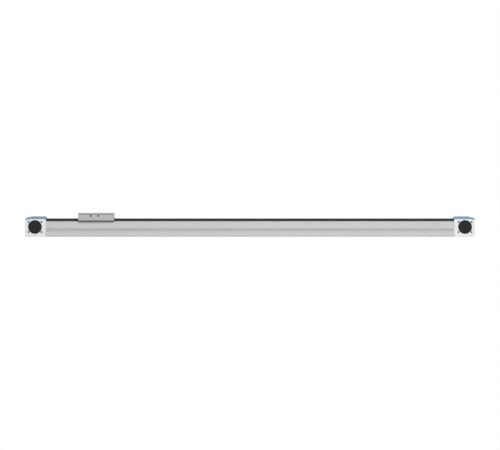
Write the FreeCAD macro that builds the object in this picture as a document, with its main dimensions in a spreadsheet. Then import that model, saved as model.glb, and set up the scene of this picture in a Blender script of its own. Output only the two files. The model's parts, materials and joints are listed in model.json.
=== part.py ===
import FreeCAD, Part
import math
import os
import Sketcher

Vector = FreeCAD.Vector
doc = FreeCAD.newDocument("BeltAxis")

# Driving sizes in millimetres; X runs along the axis, the front is -Y, Z is up
SIZES = {
    # Whole axis
    "overall_length": 1250,
    "body_width": 70,
    "head_length": 58,
    "axis_inset": 27.5,
    "carriage_from_axis": 170,
    "fit_clearance": 0.05,
    # Toothed belt
    "belt_pitch": 5,
    "belt_width": 16,
    "belt_back": 1.5,
    "belt_tooth_height": 1.2,
    "belt_tooth_root": 2.6,
    "belt_tooth_tip": 1.6,
    "belt_pitch_line": 0.6,
    "mesh_clearance": 0.15,
    # Pulley and shaft
    "pulley_teeth": 28,
    "belt_side_play": 0.5,
    "flange_thickness": 1.2,
    "flange_lip": 0.4,
    "hub_radius": 11.5,
    "hub_end": 0.3,
    "shaft_radius": 6,
    "shaft_bore": 3,
    "key_width": 4,
    "key_height": 4.2,
    "key_depth": 1.8,
    "key_length": 14,
    "spacer_wall": 1.6,
    "bearing_width": 8,
    "bearing_radius": 14,
    "bearing_ring_wall": 2.3,
    "bearing_seat_play": 0.02,
    "shield_thickness": 0.5,
    "shield_inset": 0.3,
    "shield_play": 0.2,
    "ring_thickness": 1.2,
    "ring_land": 0.5,
    "ring_groove": 1,
    "ring_width": 2.4,
    "ring_gap_angle": 40,
    # Profile
    "floor_wall": 3,
    "duct_clearance": 1.6,
    "duct_side": 2,
    "belt_rise": 7.65,
    "profile_corner": 0.5,
    "chamber_corner": 2,
    "side_wall": 6,
    "deck_wall": 8.4,
    "duct_roof": 4.6,
    "groove_low": 14,
    "groove_width": 9.2,
    "groove_depth": 3.9,
    "groove_flank": 0.4,
    "step_drop": 6,
    "step_depth": 0.7,
    "slot_offset": 24,
    "slot_mouth": 5.4,
    "slot_width": 9,
    "slot_lip": 1.8,
    "slot_depth": 6,
    "trough_depth": 1.6,
    "trough_edge": 1.4,
    # Guide rails
    "rail_offset": 20.5,
    "rail_width": 10,
    "rail_rise": 8.3,
    "rail_seat_depth": 0.5,
    "rail_edge": 0.4,
    "race_drop": 2.9,
    "race_depth": 1,
    "rail_screw_pitch": 60,
    "rail_screw_end": 25,
    "small_screw_radius": 1.5,
    "small_head_radius": 2.75,
    "small_head_height": 3,
    "small_key": 2.5,
    "rail_screw_depth": 7,
    "head_recess_play": 0.3,
    # Drive heads
    "cavity_clearance": 1.3,
    "cavity_side": 0.8,
    "head_drop": 1.35,
    "head_slope_run": 16,
    "head_slope_drop": 2.6,
    "head_edge": 1,
    "cap_radius": 19.15,
    "cap_depth": 4.2,
    "cap_wall": 1.8,
    "cap_plate": 2.6,
    "cap_groove": 0.8,
    "cap_groove_width": 1.6,
    "cap_rim": 2,
    "cap_dish_radius": 6,
    "cap_play": 0.1,
    "flange_hole_x": 36,
    "flange_hole_z": 28,
    "thread_radius": 2.5,
    "thread_depth": 10,
    "foot_hole_x": 38,
    "foot_hole_y": 50,
    "foot_hole_depth": 7,
    "head_screw_y": 15.5,
    "head_screw_low": 10,
    "head_screw_rise": 29.5,
    "head_screw_radius": 2.5,
    "head_screw_head": 4.25,
    "head_screw_head_height": 5,
    "head_screw_key": 4,
    "head_screw_recess": 5.5,
    "head_screw_grip": 14,
    "screw_play": 0.15,
    # Head covers
    "cover_height": 7.8,
    "cover_wall": 2.4,
    "cover_lip": 2.8,
    "cover_lip_gap": 0.25,
    "cover_lip_lean": 4.7,
    "cover_slope_run": 20,
    "cover_slope_drop": 3.8,
    "cover_nose_inset": 1,
    "cover_nose_run": 3.2,
    "cover_nose_height": 3,
    "cover_edge": 1.5,
    "stud_radius": 2.4,
    "stud_depth": 4,
    "stud_offset": 27,
    "stud_inner": 8,
    "stud_outer": 26,
    # Carriage
    "carriage_length": 100,
    "skirt_gap": 2.75,
    "skirt_wall": 4.7,
    "skirt_play": 0.8,
    "deck_thickness": 5.8,
    "top_plate_thickness": 5.25,
    "top_plate_setback": 0.8,
    "plate_edge": 0.5,
    "mount_hole_x": 80,
    "mount_hole_y": 54,
    "mount_hole_depth": 9,
    "plate_screw_x": 48,
    "plate_screw_radius": 2,
    "plate_screw_head": 3.5,
    "plate_screw_head_height": 2.8,
    "plate_screw_recess": 3,
    "plate_screw_key": 2.5,
    "plate_screw_grip": 5,
    "side_hole_drop": 2.9,
    "side_hole_spacing": 21,
    "side_hole_shift": 4.35,
    "side_hole_depth": 8,
    "side_hole_radius": 2.5,
    # Side seals below the carriage
    "seal_play": 0.25,
    "seal_lip": 1.55,
    "seal_flange": 1.4,
    "seal_reach": 5.2,
    "seal_inset": 0.3,
    # Runner blocks
    "block_offset": 34,
    "block_width": 22,
    "block_length": 20,
    "block_roof": 3.5,
    "block_gap": 0.5,
    "block_side_gap": 0.5,
    "block_foot": 1.2,
    "block_edge": 0.6,
    "block_screw_spacing": 10,
    "block_screw_grip": 2.8,
    "end_cap_length": 3.5,
    "end_cap_inset": 0.4,
    "wiper_thickness": 0.6,
    "wiper_play": 0.15,
    "ball_clearance": 0.08,
    "balls_in_row": 4,
    "ball_spacing": 4.4,
    # Belt clamps
    "clamp_end_gap": 0.3,
    "clamp_floor_gap": 0.5,
    "clamp_edge_gap": 0.6,
    "clamp_screw_y": 10.8,
    "clamp_screw_grip": 5,
    "clamp_grooves": 3,
    "tension_screw_rise": 2.6,
    "tension_head_radius": 2.3,
}

# Places and sizes that follow from the driving sizes
PLACES = {
    "pitch_radius": "size.pulley_teeth * size.belt_pitch / (2 * pi)",
    "land_radius": "pitch_radius - size.belt_pitch_line",
    "back_radius": "land_radius + size.belt_back",
    "tip_radius": "land_radius - size.belt_tooth_height",
    "pulley_radius": "land_radius - size.mesh_clearance",
    "flange_radius": "back_radius + size.flange_lip",
    "cavity_radius": "back_radius + size.cavity_clearance",
    "half_length": "size.overall_length / 2",
    "half_width": "size.body_width / 2",
    "head_face": "half_length - size.head_length",
    "profile_length": "2 * head_face",
    "span_pitches": "round((size.overall_length - 2 * size.axis_inset) / size.belt_pitch)",
    "axis_x": "span_pitches * size.belt_pitch / 2",
    "axis_height": "size.floor_wall + size.duct_clearance + back_radius",
    "belt_top": "axis_height + back_radius",
    "belt_land": "axis_height + land_radius",
    "belt_tips": "axis_height + tip_radius",
    "duct_top": "axis_height - tip_radius + size.duct_clearance",
    "duct_half": "size.belt_width / 2 + size.duct_side",
    "profile_top": "belt_top - size.belt_rise",
    "chamber_top": "profile_top - size.deck_wall",
    "chamber_floor": "duct_top + size.duct_roof",
    "groove_high": "size.groove_low + size.groove_width",
    "rail_seat": "profile_top - size.rail_seat_depth",
    "rail_top": "profile_top + size.rail_rise",
    "race_height": "rail_top - size.race_drop",
    "rail_half": "size.rail_width / 2",
    "rail_inner": "size.rail_offset - rail_half - size.fit_clearance",
    "rail_outer": "size.rail_offset + rail_half + size.fit_clearance",
    "trough_half": "rail_inner - size.trough_edge",
    "trough_floor": "profile_top - size.trough_depth",
    "rail_screws": "floor((profile_length - 2 * size.rail_screw_end) / size.rail_screw_pitch) + 1",
    "rail_screw_span": "(rail_screws - 1) * size.rail_screw_pitch",
    "rail_recess_floor": "rail_top - size.small_head_height - size.head_recess_play",
    "tooth_half": "size.belt_width / 2 + size.belt_side_play",
    "hub_half": "tooth_half + size.flange_thickness + size.hub_end",
    "cavity_half": "hub_half + size.cavity_side",
    "recess_in": "half_width - size.cap_depth",
    "ring_out": "recess_in - size.ring_land",
    "ring_in": "ring_out - size.ring_thickness - size.fit_clearance",
    "seat_in": "ring_in - size.bearing_width",
    "spacer_radius": "size.shaft_radius + size.spacer_wall",
    "shoulder_radius": "spacer_radius + size.cavity_side",
    "ring_groove_radius": "size.bearing_radius + size.ring_groove",
    "head_top": "belt_top - size.head_drop",
    "head_screw_high": "size.head_screw_low + size.head_screw_rise",
    "port_radius": "size.head_screw_radius + size.fit_clearance",
    "cover_top": "head_top + size.cover_height",
    "lip_height": "rail_top + size.cover_lip_gap",
    "nose_bottom": "head_top - size.head_slope_drop",
    "nose_end": "size.cover_nose_inset - half_length",
    "nose_foot": "nose_bottom + size.cover_nose_inset * size.head_slope_drop / size.head_slope_run",
    "deck_under": "rail_top + size.block_gap + size.block_roof",
    "deck_top": "deck_under + size.deck_thickness",
    "carriage_top": "deck_top + size.top_plate_thickness",
    "skirt_bottom": "profile_top + size.skirt_gap",
    "skirt_inner": "size.rail_offset + size.block_width / 2 + size.skirt_play",
    "carriage_half": "skirt_inner + size.skirt_wall",
    "carriage_x": "round(size.carriage_from_axis / size.belt_pitch) * size.belt_pitch - axis_x",
    "side_hole_height": "deck_top - size.side_hole_drop",
    "block_bottom": "profile_top + size.block_foot",
    "block_ceiling": "rail_top + size.block_gap",
    "block_inner": "rail_half + size.block_side_gap",
    "clamp_half": "trough_half - size.clamp_edge_gap",
    "clamp_bottom": "trough_floor + size.clamp_floor_gap",
    "clamp_top": "belt_land - size.fit_clearance",
    "clamp_near": "size.belt_tooth_root / 2 + size.clamp_end_gap",
    "clamp_far": "(size.clamp_grooves + 1) * size.belt_pitch - clamp_near",
    "clamp_screw_x": "(clamp_near + clamp_far) / 2",
    "anvil_bottom": "belt_top + size.fit_clearance",
    "tension_height": "clamp_bottom + size.tension_screw_rise",
}


def fill_sheet(name, cells, lead):
    """A spreadsheet with one named cell for each entry."""
    sheet = doc.addObject("Spreadsheet::Sheet", name)
    for row, (alias, content) in enumerate(cells.items(), 1):
        sheet.set(f"A{row}", alias)
        sheet.set(f"B{row}", f"{lead}{content}")
        sheet.setAlias(f"B{row}", alias)
    doc.recompute()
    return sheet


size_sheet = fill_sheet("size", SIZES, "")
place_sheet = fill_sheet("place", PLACES, "=")
nodes = []


def number(text):
    """The value of an expression over the two sheets."""
    return float(size_sheet.evalExpression(text))


def size(alias):
    return float(size_sheet.get(alias))


def place(alias):
    return float(place_sheet.get(alias))


def keep(item, label):
    """Register an object as one piece of the axis, under its own name."""
    item.Label = label
    nodes.append(item)
    return item


def new_body(label):
    return keep(doc.addObject("PartDesign::Body", "body_" + label), label)


def origin_feature(body, role):
    return next(item for item in body.Origin.OriginFeatures if item.Role == role)


def new_sketch(body, plane, **shift):
    """A sketch on one of the body's own planes, shifted by bound distances."""
    sketch = body.newObject("Sketcher::SketchObject", body.Name + "_sketch")
    sketch.AttachmentSupport = [(origin_feature(body, plane), "")]
    sketch.MapMode = "FlatFace"
    for axis, text in shift.items():
        sketch.setExpression(f"AttachmentOffset.Base.{axis}", text)
    return sketch


def bind(sketch, kind, geometry, point, text):
    """Place one point of the sketch from its origin by a bound distance."""
    value = number(text)
    index = sketch.addConstraint(Sketcher.Constraint(kind, -1, 1, geometry, point, value))
    sketch.setExpression(f"Constraints[{index}]", text)


def polygon(sketch, points):
    """A closed outline of straight edges with every corner bound to the sheets."""
    first = sketch.GeometryCount
    corners = [Vector(number(across), number(up), 0) for across, up in points]
    count = len(corners)
    for index in range(count):
        sketch.addGeometry(Part.LineSegment(corners[index], corners[(index + 1) % count]))
    for index in range(count):
        following = first + (index + 1) % count
        sketch.addConstraint(Sketcher.Constraint("Coincident", first + index, 2, following, 1))
    for index, (across, up) in enumerate(points):
        bind(sketch, "DistanceX", first + index, 1, across)
        bind(sketch, "DistanceY", first + index, 1, up)


def circle(sketch, across, up, radius):
    centre = Vector(number(across), number(up), 0)
    index = sketch.addGeometry(Part.Circle(centre, Vector(0, 0, 1), number(radius)))
    bind(sketch, "DistanceX", index, 3, across)
    bind(sketch, "DistanceY", index, 3, up)
    limit = sketch.addConstraint(Sketcher.Constraint("Radius", index, number(radius)))
    sketch.setExpression(f"Constraints[{limit}]", radius)


def box_points(left, right, low, high):
    return [(left, low), (right, low), (right, high), (left, high)]


def both_sides(half):
    """A half outline from the bottom to the top, closed by its mirror image."""
    return half + [(f"-({across})", up) for across, up in reversed(half)]


def feature(body, kind, sketch):
    item = body.newObject("PartDesign::" + kind, f"{body.Name}_{kind}")
    item.Profile = sketch
    sketch.Visibility = False
    return item


def pad(body, sketch, length, midplane=False, reverse=False):
    item = feature(body, "Pad", sketch)
    item.setExpression("Length", length)
    item.Midplane = midplane
    item.Reversed = reverse
    doc.recompute()
    return item


def must_shrink(body, before):
    doc.recompute()
    if body.Shape.Volume >= before - 1e-6:
        raise RuntimeError(f"a cut in {body.Label} removed nothing")


def pocket(body, sketch, length, midplane=False, reverse=False):
    before = body.Shape.Volume
    item = feature(body, "Pocket", sketch)
    item.setExpression("Length", length)
    item.Midplane = midplane
    item.Reversed = reverse
    must_shrink(body, before)
    return item


def groove(body, sketch):
    """A turned cut about the sketch's own upright axis."""
    before = body.Shape.Volume
    item = feature(body, "Groove", sketch)
    item.ReferenceAxis = (sketch, ["V_Axis"])
    item.Angle = 360
    must_shrink(body, before)
    return item


def revolve(body, sketch):
    item = feature(body, "Revolution", sketch)
    item.ReferenceAxis = (sketch, ["V_Axis"])
    item.Angle = 360
    doc.recompute()
    return item


def pattern_along(body, originals, role, length, count):
    item = body.newObject("PartDesign::LinearPattern", body.Name + "_row")
    item.Originals = originals
    item.Direction = (origin_feature(body, role), [""])
    item.setExpression("Length", length)
    item.setExpression("Occurrences", count)
    body.Tip = item
    doc.recompute()
    return item


def pattern_around(body, originals, role, count):
    item = body.newObject("PartDesign::PolarPattern", body.Name + "_ring")
    item.Originals = originals
    item.Axis = (origin_feature(body, role), [""])
    item.Angle = 360
    item.setExpression("Occurrences", count)
    body.Tip = item
    doc.recompute()
    return item


def mirror(body, originals, role):
    item = body.newObject("PartDesign::Mirrored", body.Name + "_mirror")
    item.Originals = originals
    item.MirrorPlane = (origin_feature(body, role), [""])
    body.Tip = item
    doc.recompute()
    return item


def edges_at(shape, test):
    """Names of the straight edges whose two ends pass the test."""
    names = []
    for index, edge in enumerate(shape.Edges, 1):
        ends = [vertex.Point for vertex in edge.Vertexes]
        if len(ends) == 2 and all(test(point) for point in ends):
            names.append(f"Edge{index}")
    return names


def lengthwise_edges(shape, test):
    """Names of the edges along the X axis that pass the test."""
    names = []
    for index, edge in enumerate(shape.Edges, 1):
        ends = [vertex.Point for vertex in edge.Vertexes]
        if len(ends) == 2 and near(ends[0].y, ends[1].y) and near(ends[0].z, ends[1].z):
            if test(ends[0]):
                names.append(f"Edge{index}")
    return names


def upright_edges(shape, test):
    """Names of the edges along the Z axis that pass the test."""
    names = []
    for index, edge in enumerate(shape.Edges, 1):
        ends = [vertex.Point for vertex in edge.Vertexes]
        if len(ends) == 2 and near(ends[0].x, ends[1].x) and near(ends[0].y, ends[1].y):
            if test(ends[0]):
                names.append(f"Edge{index}")
    return names


def soften(body, kind, names, amount):
    """Round or break the named edges of the body."""
    base = body.Tip
    item = body.newObject("PartDesign::" + kind, f"{body.Name}_{kind}")
    item.Base = (base, names)
    item.setExpression("Radius" if kind == "Fillet" else "Size", amount)
    body.Tip = item
    doc.recompute()
    return item


def near(value, target):
    return abs(value - target) < 1e-4


def turned(label, outlines):
    """A body turned about the Y axis from outlines of radius and depth."""
    body = new_body(label)
    sketch = new_sketch(body, "XY_Plane")
    for outline in outlines:
        polygon(sketch, outline)
    revolve(body, sketch)
    return body


def seat_at_axle(body, end, half_turn=False):
    """Carry a turned body from the origin to the pulley axle of one end."""
    if half_turn:
        body.Placement.Rotation = FreeCAD.Rotation(Vector(0, 0, 1), 180)
    body.setExpression("Placement.Base.x", f"{END_SIGN[end]} * place.axis_x")
    body.setExpression("Placement.Base.z", "place.axis_height")
    doc.recompute()


def seat_at_end(body, end):
    """The right end is the left end turned half round the upright axis."""
    if end == "right":
        body.Placement.Rotation = FreeCAD.Rotation(Vector(0, 0, 1), 180)
        doc.recompute()


def both_depths(outline):
    """An outline of radius and depth for the front, and its copy for the rear."""
    rear = [(radius, f"-({depth})") for radius, depth in reversed(outline)]
    return [outline, rear]


def group(label, shapes):
    """Several equal loose pieces kept as one node."""
    item = doc.addObject("Part::Feature", "group_" + label)
    item.Shape = Part.makeCompound(shapes)
    item.Placement = FreeCAD.Placement()
    return keep(item, label)


def cap_screw(radius, grip, head_radius, head_height, key):
    """A socket head screw pointing down, with the underside of its head at the origin."""
    shank = Part.makeCylinder(radius, grip, Vector(0, 0, -grip))
    head = Part.makeCylinder(head_radius, head_height)
    corner = key / math.sqrt(3)
    turns = [math.radians(60 * step) for step in range(7)]
    hexagon = [Vector(corner * math.cos(turn), corner * math.sin(turn), 0) for turn in turns]
    socket = Part.Face(Part.makePolygon(hexagon)).extrude(Vector(0, 0, head_height))
    socket.translate(Vector(0, 0, head_height / 2))
    return shank.fuse(head).cut(socket).removeSplitter()


def small_screw(grip):
    return cap_screw(
        size("small_screw_radius"),
        grip,
        size("small_head_radius"),
        size("small_head_height"),
        size("small_key"),
    )


def moved(shape, x, y, z):
    copy = shape.copy()
    copy.translate(Vector(x, y, z))
    return copy


END_SIGN = {"left": -1, "right": 1}
SIDE_SIGN = {"front": -1, "rear": 1}


def make_profile():
    """Extruded housing: T-slots below, side grooves and steps, rail seats and belt trough above."""
    body = new_body("profile")
    sketch = new_sketch(body, "YZ_Plane")
    slot_in = "size.slot_offset - size.slot_width / 2"
    slot_out = "size.slot_offset + size.slot_width / 2"
    mouth_in = "size.slot_offset - size.slot_mouth / 2"
    mouth_out = "size.slot_offset + size.slot_mouth / 2"
    groove_wall = "place.half_width - size.groove_depth"
    polygon(sketch, both_sides([
        (mouth_in, "0"),
        (mouth_in, "size.slot_lip"),
        (slot_in, "size.slot_lip"),
        (slot_in, "size.slot_depth"),
        (slot_out, "size.slot_depth"),
        (slot_out, "size.slot_lip"),
        (mouth_out, "size.slot_lip"),
        (mouth_out, "0"),
        ("place.half_width", "0"),
        ("place.half_width", "size.groove_low"),
        (groove_wall, "size.groove_low + size.groove_flank"),
        (groove_wall, "place.groove_high - size.groove_flank"),
        ("place.half_width", "place.groove_high"),
        ("place.half_width", "place.profile_top - size.step_drop"),
        ("place.half_width - size.step_depth", "place.profile_top - size.step_drop"),
        ("place.half_width", "place.profile_top"),
        ("place.rail_outer", "place.profile_top"),
        ("place.rail_outer", "place.rail_seat"),
        ("place.rail_inner", "place.rail_seat"),
        ("place.rail_inner", "place.profile_top"),
        ("place.trough_half", "place.profile_top"),
        ("place.trough_half", "place.trough_floor"),
    ]))
    chamber_half = "place.half_width - size.side_wall"
    polygon(sketch, box_points(
        f"-({chamber_half})", chamber_half, "place.chamber_floor", "place.chamber_top"))
    polygon(sketch, box_points(
        "-place.duct_half", "place.duct_half", "size.floor_wall", "place.duct_top"))
    for across in ("-size.head_screw_y", "size.head_screw_y"):
        for up in ("size.head_screw_low", "place.head_screw_high"):
            circle(sketch, across, up, "place.port_radius")
    pad(body, sketch, "place.profile_length", midplane=True)

    half_width = place("half_width")
    top = place("profile_top")

    def outer_corner(point):
        return near(abs(point.y), half_width) and (near(point.z, 0) or near(point.z, top))

    def chamber_corner(point):
        inner = near(abs(point.y), half_width - size("side_wall"))
        return inner and (near(point.z, place("chamber_floor")) or near(point.z, place("chamber_top")))

    for test, radius in (
        (outer_corner, "size.profile_corner"),
        (chamber_corner, "size.chamber_corner"),
    ):
        soften(body, "Fillet", lengthwise_edges(body.Shape, test), radius)

    holes = new_sketch(body, "XY_Plane", z="place.rail_seat")
    for across in ("-size.rail_offset", "size.rail_offset"):
        circle(holes, "-place.rail_screw_span / 2", across, "size.small_screw_radius + size.fit_clearance")
    first = pocket(body, holes, "size.rail_screw_depth")
    pattern_along(body, [first], "X_Axis", "place.rail_screw_span", "place.rail_screws")
    return body


def make_rail(side):
    """Ground steel rail with a raceway along each flank and sunk screw holes."""
    body = new_body(side + "_guide_rail")
    sketch = new_sketch(body, "YZ_Plane", x=f"{SIDE_SIGN[side]} * size.rail_offset")
    polygon(sketch, both_sides([
        ("place.rail_half", "place.rail_seat"),
        ("place.rail_half", "place.race_height - size.race_depth"),
        ("place.rail_half - size.race_depth", "place.race_height"),
        ("place.rail_half", "place.race_height + size.race_depth"),
        ("place.rail_half", "place.rail_top - size.rail_edge"),
        ("place.rail_half - size.rail_edge", "place.rail_top"),
    ]))
    pad(body, sketch, "place.profile_length", midplane=True)
    start = "-place.rail_screw_span / 2"
    centre = f"{SIDE_SIGN[side]} * size.rail_offset"
    recess = new_sketch(body, "XY_Plane", z="place.rail_top")
    circle(recess, start, centre, "size.small_head_radius + size.screw_play")
    sunk = pocket(body, recess, "place.rail_top - place.rail_recess_floor")
    bore = new_sketch(body, "XY_Plane", z="place.rail_top")
    circle(bore, start, centre, "size.small_screw_radius + size.screw_play")
    through = pocket(body, bore, "place.rail_top - place.rail_seat + size.rail_seat_depth")
    pattern_along(body, [sunk, through], "X_Axis", "place.rail_screw_span", "place.rail_screws")
    return body


def make_rail_screws(side):
    floor = place("rail_recess_floor")
    grip = floor - place("rail_seat") + size("rail_screw_depth") - size("head_recess_play")
    screw = small_screw(grip)
    start = -place("rail_screw_span") / 2
    across = SIDE_SIGN[side] * size("rail_offset")
    spots = [start + index * size("rail_screw_pitch") for index in range(round(place("rail_screws")))]
    group(side + "_rail_screws", [moved(screw, x, across, floor) for x in spots])


def make_head(end):
    """Drive head casting: pulley cavity, stepped bearing bores and threaded faces."""
    body = new_body(end + "_drive_head")
    outline = new_sketch(body, "XZ_Plane")
    polygon(outline, [
        ("-place.half_length", "0"),
        ("-place.head_face", "0"),
        ("-place.head_face", "place.head_top"),
        ("-place.half_length + size.head_slope_run", "place.head_top"),
        ("-place.half_length", "place.nose_bottom"),
    ])
    pad(body, outline, "size.body_width", midplane=True)
    half_length = place("half_length")
    head_face = place("head_face")
    half_width = place("half_width")

    def side_edge(point):
        at_end = near(point.x, -half_length) or near(point.x, -head_face)
        return at_end and near(abs(point.y), half_width)

    edges = upright_edges(body.Shape, side_edge)
    soften(body, "Chamfer", edges, "size.head_edge")

    wheel_room = new_sketch(body, "XZ_Plane")
    circle(wheel_room, "-place.axis_x", "place.axis_height", "place.cavity_radius")
    pocket(body, wheel_room, "2 * place.cavity_half", midplane=True)
    strands = new_sketch(body, "XZ_Plane")
    polygon(strands, box_points(
        "-place.axis_x",
        "-place.head_face + size.head_edge",
        "place.belt_tips - size.duct_clearance",
        "place.head_top + size.head_edge",
    ))
    polygon(strands, box_points(
        "-place.axis_x",
        "-place.head_face + size.head_edge",
        "place.axis_height - place.cavity_radius",
        "place.duct_top",
    ))
    pocket(body, strands, "2 * place.cavity_half", midplane=True)

    bores = new_sketch(body, "XY_Plane", x="-place.axis_x", z="place.axis_height")
    step_in = "place.cavity_half - size.fit_clearance"
    for outline_part in both_depths([
        ("0", f"-({step_in})"),
        ("place.shoulder_radius", f"-({step_in})"),
        ("place.shoulder_radius", "-place.seat_in"),
        ("size.bearing_radius", "-place.seat_in"),
        ("size.bearing_radius", "-place.ring_in"),
        ("place.ring_groove_radius", "-place.ring_in"),
        ("place.ring_groove_radius", "-place.ring_out"),
        ("size.bearing_radius", "-place.ring_out"),
        ("size.bearing_radius", "-place.recess_in"),
        ("size.cap_radius", "-place.recess_in"),
        ("size.cap_radius", "-place.half_width - size.head_edge"),
        ("0", "-place.half_width - size.head_edge"),
    ]):
        polygon(bores, outline_part)
    groove(body, bores)

    flange = new_sketch(body, "XZ_Plane", z="place.half_width")
    for along in ("-", "+"):
        for up in ("-", "+"):
            circle(
                flange,
                f"-place.axis_x {along} size.flange_hole_x / 2",
                f"place.axis_height {up} size.flange_hole_z / 2",
                "size.thread_radius",
            )
    threads = pocket(body, flange, "size.thread_depth")
    mirror(body, [threads], "XZ_Plane")

    feet = new_sketch(body, "XY_Plane")
    for along in ("-", "+"):
        for across in ("-", ""):
            circle(
                feet,
                f"-place.half_length + size.head_length / 2 {along} size.foot_hole_x / 2",
                f"{across}size.foot_hole_y / 2",
                "size.thread_radius",
            )
    pocket(body, feet, "size.foot_hole_depth", reverse=True)

    studs = new_sketch(body, "XY_Plane", z="place.head_top")
    for across in ("-size.stud_offset", "size.stud_offset"):
        for along in (
            "-place.half_length + size.stud_outer",
            "-place.head_face - size.stud_inner",
        ):
            circle(studs, along, across, "size.stud_radius + size.cap_play")
    pocket(body, studs, "size.stud_depth + size.screw_play")

    for radius, depth in (
        ("size.head_screw_radius + size.screw_play", "size.head_length"),
        ("size.head_screw_head + size.screw_play", "size.head_screw_recess"),
    ):
        screws = new_sketch(body, "YZ_Plane", z="-place.half_length")
        for across in ("-size.head_screw_y", "size.head_screw_y"):
            for up in ("size.head_screw_low", "place.head_screw_high"):
                circle(screws, across, up, radius)
        pocket(body, screws, depth, reverse=True)
    seat_at_end(body, end)
    return body


def make_cover(end):
    """Moulded hood over the pulley with a sloping nose and a lip over the rails."""
    body = new_body(end + "_head_cover")
    outline = new_sketch(body, "XZ_Plane")
    polygon(outline, [
        ("-place.head_face", "place.head_top"),
        ("-place.head_face", "place.lip_height"),
        ("-place.head_face + size.cover_lip", "place.lip_height"),
        ("-place.head_face + size.cover_lip - size.cover_lip_lean", "place.cover_top"),
        ("-place.half_length + size.cover_slope_run", "place.cover_top"),
        ("-place.half_length + size.cover_nose_run", "place.cover_top - size.cover_slope_drop"),
        ("place.nose_end", "place.nose_foot + size.cover_nose_height"),
        ("place.nose_end", "place.nose_foot"),
        ("-place.half_length + size.head_slope_run", "place.head_top"),
    ])
    pad(body, outline, "size.body_width", midplane=True)
    half_width = place("half_width")
    nose_top = place("cover_top") - size("cover_slope_drop")

    def upper_edge(point):
        return near(abs(point.y), half_width) and point.z > nose_top - 1e-3

    soften(body, "Fillet", edges_at(body.Shape, upper_edge), "size.cover_edge")
    inside = new_sketch(body, "XZ_Plane")
    polygon(inside, [
        ("-place.head_face - size.cover_wall", "place.head_top - size.head_edge"),
        ("-place.head_face - size.cover_wall", "place.cover_top - size.cover_wall"),
        ("-place.half_length + size.cover_slope_run", "place.cover_top - size.cover_wall"),
        (
            "-place.half_length + size.cover_nose_run + size.cover_wall",
            "place.cover_top - size.cover_slope_drop - size.cover_wall",
        ),
        ("-place.half_length + size.cover_nose_run + size.cover_wall", "place.nose_bottom"),
        ("-place.half_length + size.head_slope_run", "place.head_top - size.head_edge"),
    ])
    pocket(body, inside, "size.body_width - 2 * size.cover_wall", midplane=True)
    mouth = new_sketch(body, "XZ_Plane")
    polygon(mouth, box_points(
        "-place.head_face - 2 * size.cover_wall",
        "-place.head_face + size.cover_lip",
        "place.head_top - size.head_edge",
        "place.belt_top + size.cavity_side",
    ))
    pocket(body, mouth, "size.belt_width + 2 * size.duct_side", midplane=True)
    studs = new_sketch(body, "XY_Plane", z="place.head_top - size.stud_depth")
    for across in ("-size.stud_offset", "size.stud_offset"):
        for along in (
            "-place.half_length + size.stud_outer",
            "-place.head_face - size.stud_inner",
        ):
            circle(studs, along, across, "size.stud_radius")
    pad(body, studs, "size.stud_depth + size.cover_height - size.cover_wall / 2")
    seat_at_end(body, end)
    return body


def make_head_screws(end):
    screw = cap_screw(
        size("head_screw_radius"),
        size("head_length") - size("head_screw_recess") + size("head_screw_grip"),
        size("head_screw_head"),
        size("head_screw_head_height"),
        size("head_screw_key"),
    )
    screw.rotate(Vector(0, 0, 0), Vector(0, 1, 0), -90)
    seat = size("head_screw_recess") - place("half_length")
    screws = []
    for across in (-size("head_screw_y"), size("head_screw_y")):
        for up in (size("head_screw_low"), place("head_screw_high")):
            screws.append(moved(screw, seat, across, up))
    if end == "right":
        for item in screws:
            item.rotate(Vector(0, 0, 0), Vector(0, 0, 1), 180)
    group(end + "_head_screws", screws)


def make_bore_cap(end, side):
    """Push-in cover of the drive bore with a ring groove and a dished centre."""
    face = "place.half_width"
    plate = "place.half_width - size.cap_plate"
    rim = "size.cap_radius - size.cap_play"
    ring_out = f"{rim} - size.cap_rim"
    ring_in = f"{ring_out} - size.cap_groove_width"
    skirt = "place.recess_in + size.cap_play"
    body = turned(f"{end}_{side}_bore_cap", [[
        ("0", f"-({plate})"),
        ("0", f"-({face} - size.cap_groove)"),
        ("size.cap_dish_radius - size.cap_groove", f"-({face} - size.cap_groove)"),
        ("size.cap_dish_radius", f"-({face})"),
        (ring_in, f"-({face})"),
        (ring_in, f"-({face} - size.cap_groove)"),
        (ring_out, f"-({face} - size.cap_groove)"),
        (ring_out, f"-({face})"),
        (f"{rim} - size.cap_play", f"-({face})"),
        (rim, f"-({face} - size.cap_play)"),
        (rim, f"-({skirt})"),
        (f"{rim} - size.cap_wall", f"-({skirt})"),
        (f"{rim} - size.cap_wall", f"-({plate})"),
    ]])
    seat_at_axle(body, end, half_turn=side == "rear")
    return body


def make_bearing_rings(end):
    """Outer rings, inner rings and shields of the two deep groove bearings."""
    outer = "size.bearing_radius - size.bearing_seat_play"
    outer_in = f"{outer} - size.bearing_ring_wall"
    inner = "size.shaft_radius + size.bearing_seat_play"
    inner_out = f"{inner} + size.bearing_ring_wall"
    shallow = "-(place.ring_in)"
    deep = "-(place.seat_in)"
    rings = turned(end + "_bearing_outer_rings", both_depths(box_points(outer_in, outer, shallow, deep)))
    seat_at_axle(rings, end)
    cores = turned(end + "_bearing_inner_rings", both_depths(box_points(inner, inner_out, shallow, deep)))
    seat_at_axle(cores, end)
    shield_in = f"{inner_out} + size.shield_play"
    shield_out = f"{outer_in} - size.fit_clearance"
    front_face = "place.ring_in - size.shield_inset"
    back_face = "place.seat_in + size.shield_inset"
    washers = both_depths(box_points(
        shield_in, shield_out, f"-({front_face})", f"-({front_face} - size.shield_thickness)"))
    washers += both_depths(box_points(
        shield_in, shield_out, f"-({back_face} + size.shield_thickness)", f"-({back_face})"))
    shields = turned(end + "_bearing_shields", washers)
    seat_at_axle(shields, end)


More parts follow.
